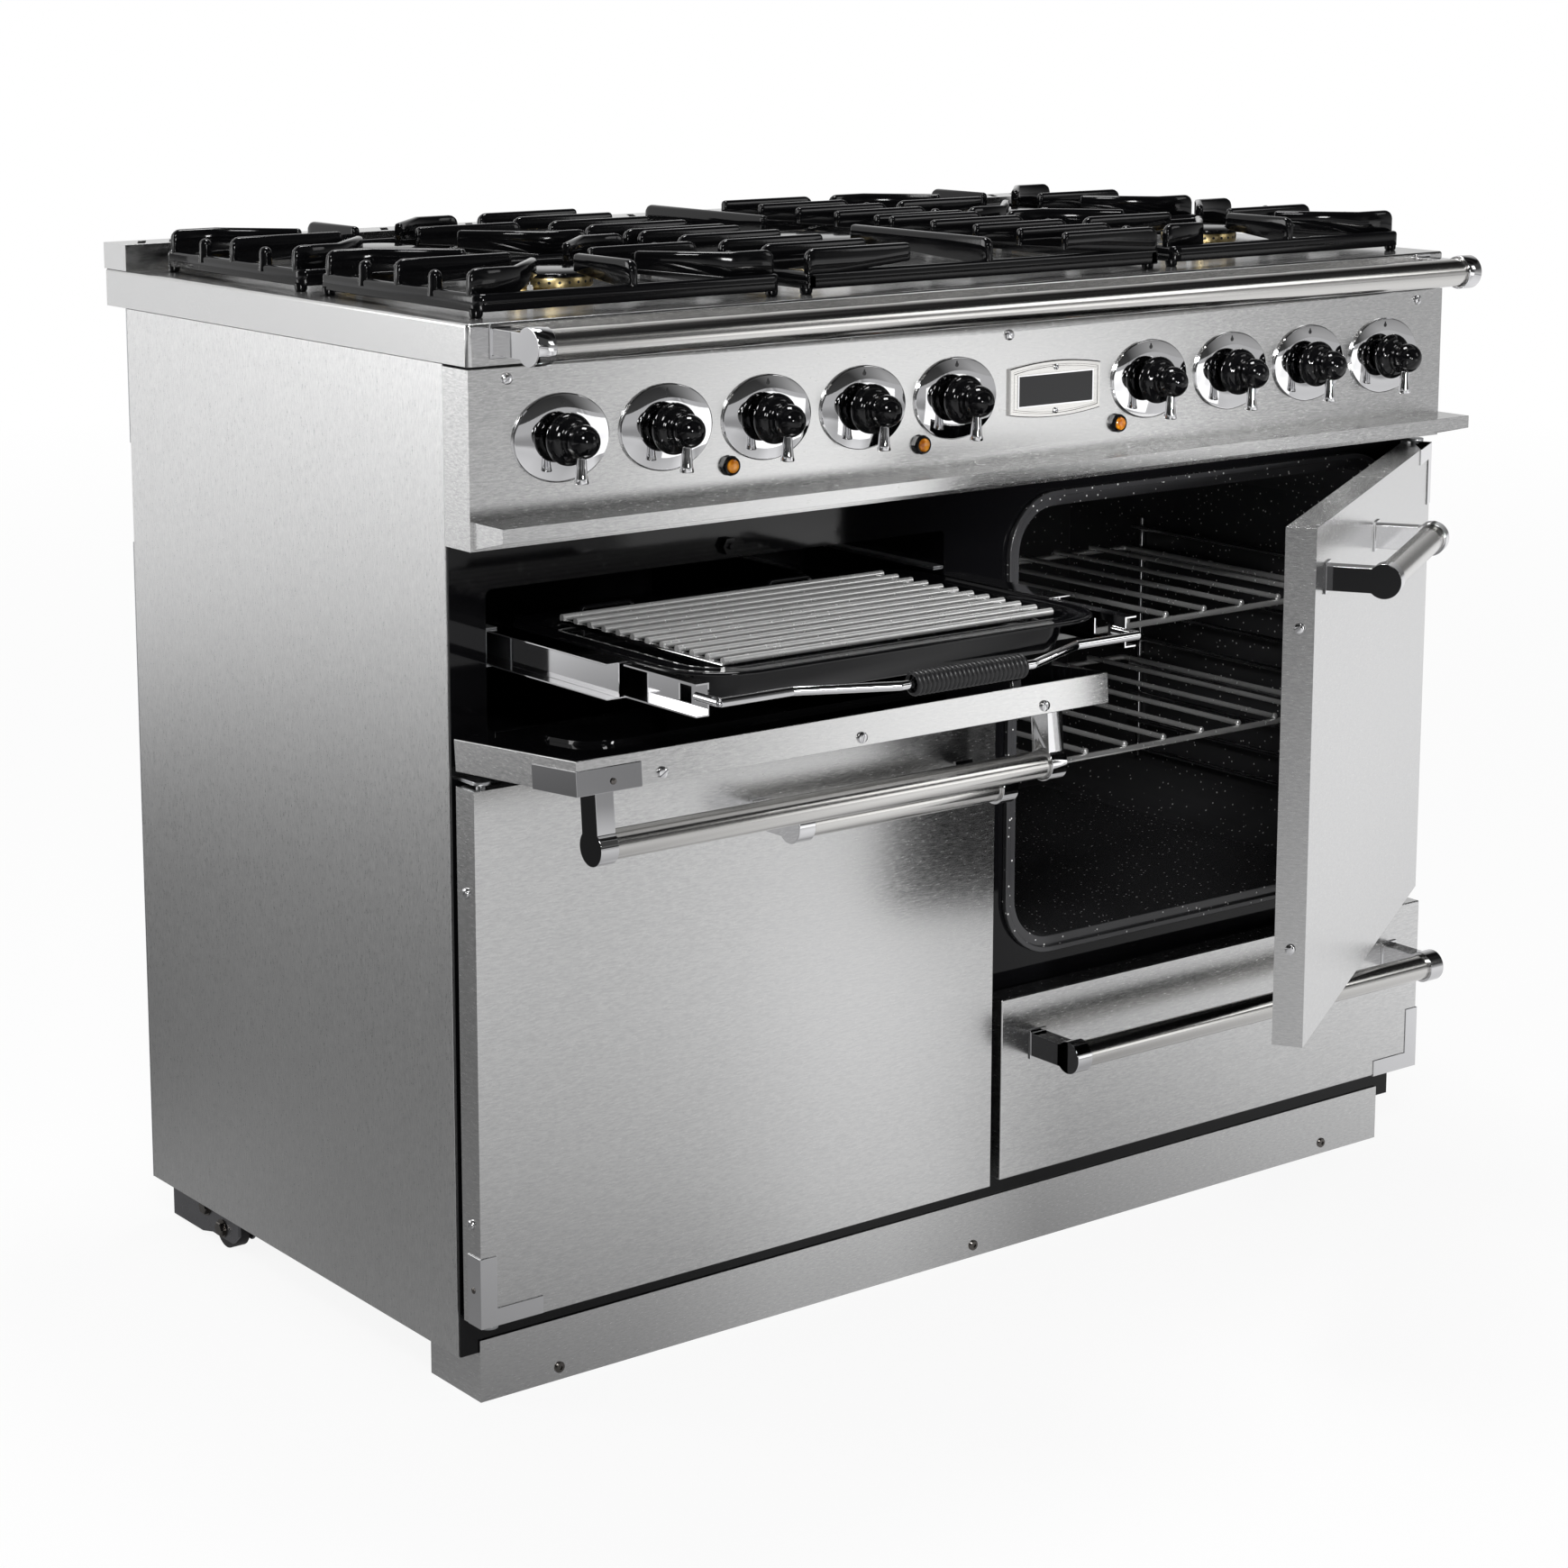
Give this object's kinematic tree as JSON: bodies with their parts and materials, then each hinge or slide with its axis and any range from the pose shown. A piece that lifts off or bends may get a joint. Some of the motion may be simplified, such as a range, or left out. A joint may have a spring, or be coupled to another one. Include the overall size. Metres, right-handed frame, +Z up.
{
  "type": "range cooker",
  "caption": "Wide freestanding range cooker with gas hob, telescopic grill with drop-down door, side-hinged ovens, drawer and hand rail.",
  "frame": {"origin": "on the floor, at the middle of the plinth's floor flange", "axes": "+X to the right along the front, +Y towards the back, +Z up"},
  "size_m": [1.099, 0.9157, 0.921],
  "materials": {
    "aluminium": "satin",
    "black_plastic": "gloss",
    "brass": "satin",
    "castiron": "gloss enamel",
    "chrome": "polished",
    "enamel": "gloss",
    "galvanised": "satin",
    "lamp": "gloss",
    "rubber": "matt",
    "stainless": "brushed"
  },
  "bodies": {
    "cooker": {"hob_top": "stainless", "rear_vent": "stainless", "side_panels": "stainless", "back_panel": "galvanised", "base_tray": "galvanised", "plinth": "stainless", "control_panel": "stainless", "drip_rail": "stainless", "hand_rail": "chrome", "rail_brackets": "chrome", "trim_screws": "chrome", "badge_plate": "stainless", "knob_bezels": "chrome", "indicator_lamps": "lamp", "front_frame": "enamel", "oven_liners": "enamel", "grill_liner": "enamel", "shelf_ladders": "chrome", "oven_shelves": "chrome", "grill_element": "enamel", "burner_rings": "brass", "burner_caps": "enamel", "pan_supports_left": "castiron", "pan_supports_centre": "castiron", "pan_supports_right": "castiron", "gas_pipework": "chrome", "control_valves": "galvanised", "floor_fittings": "galvanised", "fixed_runners": "chrome", "door_hinges": "galvanised", "fan_motors": "galvanised"},
    "grill_door": {"grill_door_skin": "stainless", "grill_door_liner": "enamel", "grill_door_trim": "chrome"},
    "runner_mid": {"runner_mid_rails": "chrome"},
    "grill_carriage": {"carriage_frame": "chrome", "handle_grip": "rubber", "grill_pan": "enamel", "grill_rack": "chrome"},
    "left_door": {"left_door_skin": "stainless", "left_door_liner": "enamel", "left_door_trim": "chrome"},
    "right_door": {"right_door_skin": "stainless", "right_door_liner": "enamel", "right_door_trim": "chrome"},
    "drawer": {"drawer_front": "stainless", "drawer_box": "galvanised", "drawer_trim": "chrome"},
    "rear_rollers": {"rear_rollers": "rubber"},
    "fan_left": {"fan_left": "aluminium"},
    "fan_right": {"fan_right": "aluminium"},
    "knob_1": {"knob_1": "black_plastic"},
    "knob_2": {"knob_2": "black_plastic"},
    "knob_3": {"knob_3": "black_plastic"},
    "knob_4": {"knob_4": "black_plastic"},
    "knob_5": {"knob_5": "black_plastic"},
    "knob_6": {"knob_6": "black_plastic"},
    "knob_7": {"knob_7": "black_plastic"},
    "knob_8": {"knob_8": "black_plastic"},
    "knob_9": {"knob_9": "black_plastic"}
  },
  "joints": [
    {"name": "grill_slide", "type": "slide", "parent": "cooker", "child": "grill_carriage", "axis": [0, 1, 0], "range_m": [0, 0.33]},
    {"name": "runner_slide", "type": "slide", "parent": "cooker", "child": "runner_mid", "axis": [0, 1, 0], "range_m": [0, 0.165]},
    {"name": "grill_door_hinge", "type": "hinge", "parent": "cooker", "child": "grill_door", "pos_m": [-0.27695, -0.031, 0.5444], "axis": [1, 0, 0], "range_deg": [-13, 0]},
    {"name": "left_door_hinge", "type": "hinge", "parent": "cooker", "child": "left_door", "pos_m": [-0.5307, -0.031, 0.2984], "axis": [0, 0, -1], "range_deg": [0, 10]},
    {"name": "right_door_hinge", "type": "hinge", "parent": "cooker", "child": "right_door", "pos_m": [0.5307, -0.031, 0.4795], "axis": [0, 0, 1], "range_deg": [-32.2, 75]},
    {"name": "drawer_slide", "type": "slide", "parent": "cooker", "child": "drawer", "axis": [0, -1, 0], "range_m": [0, 0.35]},
    {"name": "rollers_spin", "type": "hinge", "parent": "cooker", "child": "rear_rollers", "pos_m": [0, 0.417, 0.019], "axis": [1, 0, 0], "continuous": true},
    {"name": "fan_left_spin", "type": "hinge", "parent": "cooker", "child": "fan_left", "pos_m": [-0.27695, 0.41, 0.3014], "axis": [0, 1, 0], "continuous": true},
    {"name": "fan_right_spin", "type": "hinge", "parent": "cooker", "child": "fan_right", "pos_m": [0.27415, 0.41, 0.4825], "axis": [0, 1, 0], "continuous": true},
    {"name": "knob_1_turn", "type": "hinge", "parent": "cooker", "child": "knob_1", "pos_m": [-0.4618, -0.045, 0.79], "axis": [0, -1, 0], "range_deg": [0, 210]},
    {"name": "knob_2_turn", "type": "hinge", "parent": "cooker", "child": "knob_2", "pos_m": [-0.3614, -0.045, 0.79], "axis": [0, -1, 0], "range_deg": [0, 210]},
    {"name": "knob_3_turn", "type": "hinge", "parent": "cooker", "child": "knob_3", "pos_m": [-0.261, -0.045, 0.79], "axis": [0, -1, 0], "range_deg": [-150, 150]},
    {"name": "knob_4_turn", "type": "hinge", "parent": "cooker", "child": "knob_4", "pos_m": [-0.1606, -0.045, 0.79], "axis": [0, -1, 0], "range_deg": [-270, 0]},
    {"name": "knob_5_turn", "type": "hinge", "parent": "cooker", "child": "knob_5", "pos_m": [-0.0602, -0.045, 0.79], "axis": [0, -1, 0], "range_deg": [-270, 0]},
    {"name": "knob_6_turn", "type": "hinge", "parent": "cooker", "child": "knob_6", "pos_m": [0.1648, -0.045, 0.79], "axis": [0, -1, 0], "range_deg": [-270, 0]},
    {"name": "knob_7_turn", "type": "hinge", "parent": "cooker", "child": "knob_7", "pos_m": [0.2652, -0.045, 0.79], "axis": [0, -1, 0], "range_deg": [0, 210]},
    {"name": "knob_8_turn", "type": "hinge", "parent": "cooker", "child": "knob_8", "pos_m": [0.3656, -0.045, 0.79], "axis": [0, -1, 0], "range_deg": [0, 210]},
    {"name": "knob_9_turn", "type": "hinge", "parent": "cooker", "child": "knob_9", "pos_m": [0.466, -0.045, 0.79], "axis": [0, -1, 0], "range_deg": [0, 210]}
  ],
  "couplings": [
    {"joint": "runner_slide", "follows": "grill_slide", "ratio": 0.5}
  ]
}
